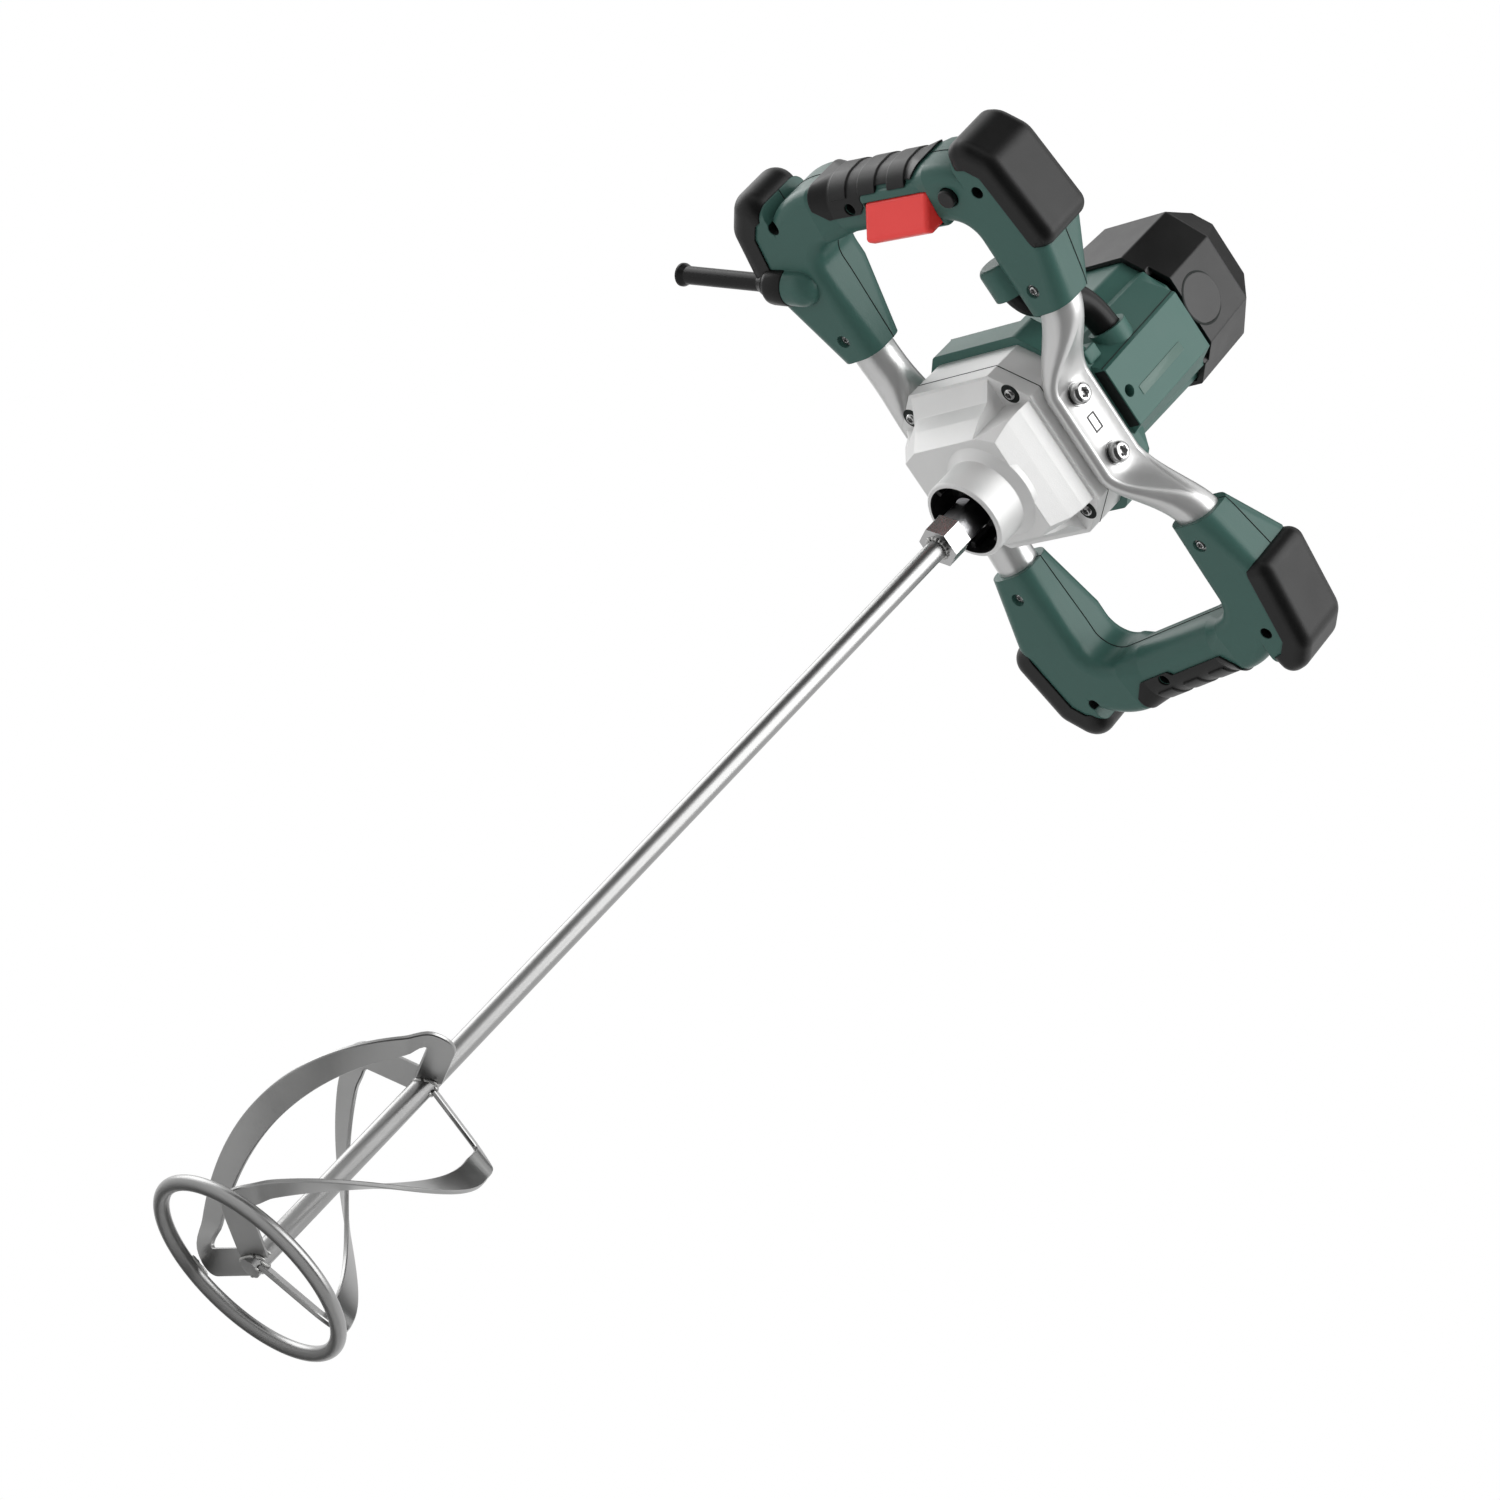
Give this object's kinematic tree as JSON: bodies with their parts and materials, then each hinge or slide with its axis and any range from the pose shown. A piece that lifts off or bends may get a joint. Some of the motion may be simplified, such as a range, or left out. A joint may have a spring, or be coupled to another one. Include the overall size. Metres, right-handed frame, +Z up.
{
  "type": "two-handed mixing drill",
  "caption": "Two-handed electric mixing drill: a geared motor hung in a bent tube frame between two D handles, driving a basket stirrer on a long shaft.",
  "frame": {"origin": "on the spindle axis, where the round wall of the neck collar begins", "axes": "+Z up along the spindle from the stirrer to the motor, +X towards the trigger handle, +Y to the front"},
  "size_m": [0.391, 0.2813, 0.8766],
  "materials": {
    "green_plastic": "fine moulded grain",
    "bumper_rubber": "soft overmoulded rubber",
    "grip_rubber": "soft grained rubber",
    "zinc_screw": "bright zinc",
    "black_plastic": "fine moulded grain",
    "cast_housing": "satin cast, blasted",
    "tube_metal": "satin drawn tube",
    "stirrer_steel": "bright zinc plated",
    "machined_steel": "machined",
    "copper": "turned copper",
    "fan_plastic": "moulded",
    "seal_rubber": "moulded",
    "carbon": "pressed carbon",
    "red_plastic": "semi-gloss moulded",
    "cable_rubber": "smooth moulded"
  },
  "bodies": {
    "base": {"right_handle_lower_shell": "green_plastic", "right_handle_upper_shell": "green_plastic", "left_handle_lower_shell": "green_plastic", "left_handle_upper_shell": "green_plastic", "motor_housing": "green_plastic", "right_front_bumper": "bumper_rubber", "right_rear_bumper": "bumper_rubber", "left_front_bumper": "bumper_rubber", "left_rear_bumper": "bumper_rubber", "right_grip_pad": "grip_rubber", "left_grip_pad": "grip_rubber", "housing_screws": "zinc_screw", "front_frame_washers": "zinc_screw", "rear_frame_washers": "zinc_screw", "front_frame_screws": "zinc_screw", "rear_frame_screws": "zinc_screw", "right_shell_screws": "zinc_screw", "left_shell_screws": "zinc_screw", "right_leg_screws": "zinc_screw", "left_leg_screws": "zinc_screw", "motor_end_cap": "black_plastic", "front_brush_cap": "black_plastic", "rear_brush_cap": "black_plastic", "switch_module": "black_plastic", "brush_bracket": "black_plastic", "gear_housing": "cast_housing", "gear_cover": "cast_housing", "front_frame_tube": "tube_metal", "rear_frame_tube": "tube_metal", "spindle_bearing": "machined_steel", "spindle_needle_bearing": "machined_steel", "idler_bearings": "machined_steel", "lower_motor_bearing": "machined_steel", "upper_motor_bearing": "machined_steel", "stator": "machined_steel", "spindle_seal": "seal_rubber", "front_carbon_brush": "carbon", "rear_carbon_brush": "carbon", "cable_sleeve": "cable_rubber", "cable_conduit": "cable_rubber"},
    "spindle": {"spindle": "machined_steel", "spindle_gear": "machined_steel", "stirrer_hexagon": "stirrer_steel", "stirrer_shaft": "stirrer_steel", "stirrer_ring": "stirrer_steel", "stirrer_blade_1": "stirrer_steel", "stirrer_blade_2": "stirrer_steel", "stirrer_blade_3": "stirrer_steel"},
    "idler": {"idler_shaft": "machined_steel", "idler_gear": "machined_steel"},
    "armature": {"armature_shaft": "machined_steel", "armature_core": "machined_steel", "commutator": "copper", "fan": "fan_plastic"},
    "trigger": {"trigger": "red_plastic"},
    "lock_button": {"lock_button": "black_plastic"}
  },
  "joints": [
    {"name": "spindle_spin", "type": "hinge", "parent": "base", "child": "spindle", "pos_m": [0, 0, 0], "axis": [0, 0, 1], "continuous": true},
    {"name": "idler_spin", "type": "hinge", "parent": "base", "child": "idler", "pos_m": [-0.02496, -0.0206, 0.06], "axis": [0, 0, 1], "continuous": true},
    {"name": "armature_spin", "type": "hinge", "parent": "base", "child": "armature", "pos_m": [0, -0.022, 0.15], "axis": [0, 0, 1], "continuous": true},
    {"name": "trigger_pull", "type": "slide", "parent": "base", "child": "trigger", "axis": [0, -0.0872, 0.9962], "range_m": [0, 0.005], "stiffness_N_per_m": 600},
    {"name": "lock_push", "type": "slide", "parent": "base", "child": "lock_button", "axis": [0, -0.0872, 0.9962], "range_m": [0, 0.003], "stiffness_N_per_m": 500}
  ],
  "couplings": [
    {"joint": "idler_spin", "follows": "spindle_spin", "ratio": -3.1111},
    {"joint": "armature_spin", "follows": "spindle_spin", "ratio": 16.333}
  ]
}
